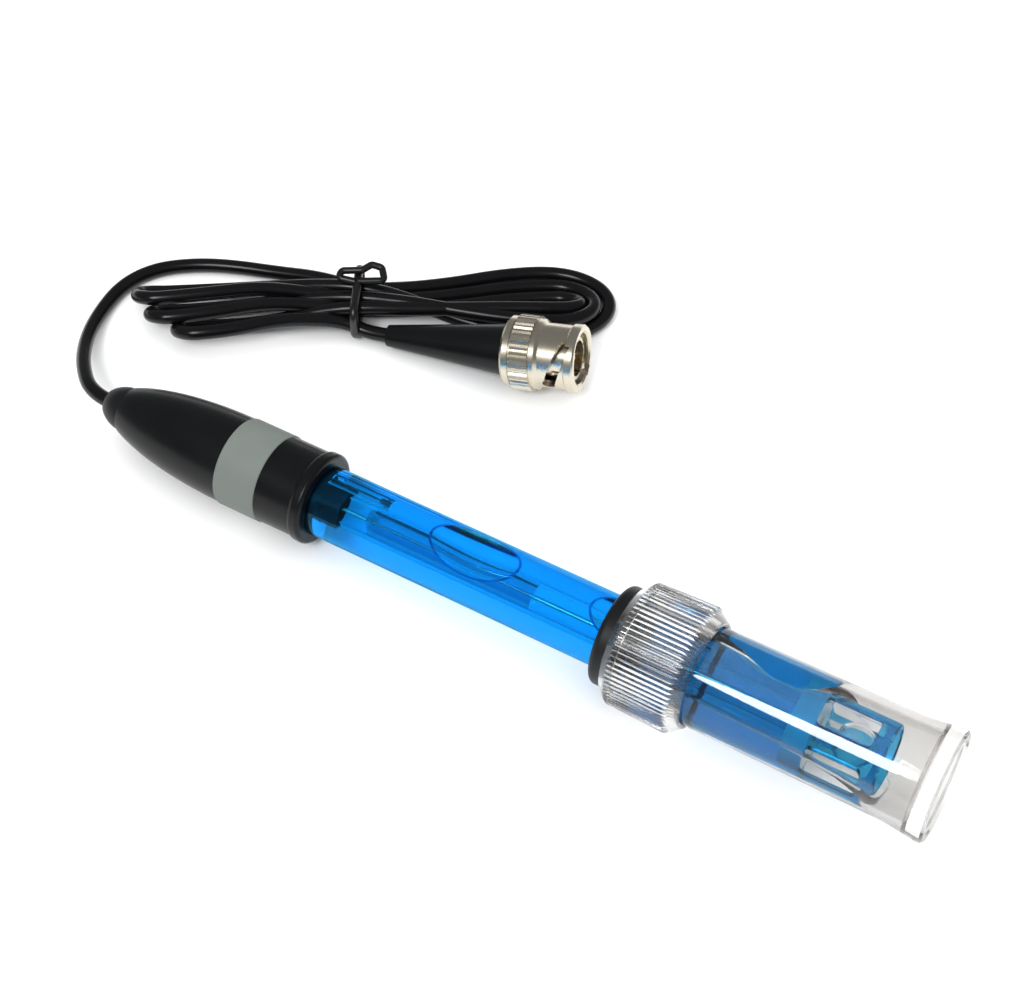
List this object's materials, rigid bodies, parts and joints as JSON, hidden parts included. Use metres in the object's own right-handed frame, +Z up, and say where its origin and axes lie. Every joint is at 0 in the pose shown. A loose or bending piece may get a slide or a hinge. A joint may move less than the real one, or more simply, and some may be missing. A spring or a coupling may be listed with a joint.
{
  "type": "ph electrode",
  "caption": "Combination pH electrode with a blue clear body, black handle, coaxial plug on a tied lead, and a screw storage bottle on a sliding seal.",
  "frame": {"origin": "on the bench, at the middle of the box round the probe and its storage bottle, without the lead and the plug", "axes": "+X along the probe from the cable end to the bottle, +Z up from the bench"},
  "size_m": [0.1886, 0.0877, 0.0229],
  "materials": {
    "black_rubber": "black soft rubber, slight sheen",
    "black_handle": "smooth black moulded plastic",
    "grey_band": "matte warm grey plastic",
    "blue_clear_plastic": "clear plastic, bright blue tint",
    "black_resin": "cast black resin",
    "electrode_glass": "clear thin glass",
    "buffer_solution": "clear water-like solution",
    "silver": "bright drawn wire",
    "silver_chloride": "dark coated wire and bead",
    "sheath_plastic": "clear fine plastic tubing",
    "reference_gel": "clear gel",
    "ceramic": "porous off-white ceramic",
    "black_cable": "smooth black cable jacket",
    "clear_plastic": "clear moulded plastic",
    "nickel": "turned metal, nickel plated, warm",
    "white_insulator": "white smooth insulator",
    "gold_pin": "gold plated",
    "grey_gasket": "soft red-brown gasket",
    "tie_plastic": "black coated wire"
  },
  "bodies": {
    "probe": {"cable_grommet": "black_rubber", "rear_boot": "black_handle", "grey_band": "grey_band", "front_sleeve": "black_handle", "body_tube": "blue_clear_plastic", "top_plug": "black_resin", "glass_stem": "electrode_glass", "stem_stopper": "black_resin", "stem_sleeve": "black_resin", "stem_buffer": "buffer_solution", "measuring_wire": "silver", "reference_sheath": "sheath_plastic", "reference_wire": "silver_chloride", "reference_gel": "reference_gel", "tip_seal": "black_resin", "ceramic_junction": "ceramic", "cable_end": "black_cable", "potting": "black_resin", "plug_boot": "black_handle", "plug_ferrule": "nickel", "plug_body": "nickel", "plug_insulator": "white_insulator", "plug_pin": "gold_pin", "plug_cable": "black_cable", "plug_washer": "nickel", "plug_gasket": "grey_gasket", "cable_lead": "black_cable", "cable_tail": "black_cable", "cable_hank": "black_cable", "twist_tie": "tie_plastic"},
    "seal": {"seal_ring": "black_rubber"},
    "collar": {"storage_collar": "clear_plastic"},
    "bottle": {"storage_bottle": "clear_plastic"},
    "coupling_nut": {"plug_nut": "nickel"}
  },
  "joints": [
    {"name": "cap_slide", "type": "slide", "parent": "probe", "child": "seal", "axis": [0.9994, 0, 0.0338], "range_m": [0, 0.052]},
    {"name": "collar_turn", "type": "hinge", "parent": "seal", "child": "collar", "pos_m": [0.02499, 0, 0.01103], "axis": [-0.9994, 0, -0.0338], "range_deg": [0, 720]},
    {"name": "bottle_unscrew", "type": "slide", "parent": "seal", "child": "bottle", "axis": [0.9994, 0, 0.0338], "range_m": [0, 0.006]},
    {"name": "nut_turn", "type": "hinge", "parent": "probe", "child": "coupling_nut", "pos_m": [-0.02613, 0.04868, 0.00675], "axis": [0.9604, 0.2306, 0.1562], "continuous": true}
  ],
  "couplings": [
    {"joint": "bottle_unscrew", "follows": "collar_turn", "m_per_rad": 0.00047746}
  ]
}
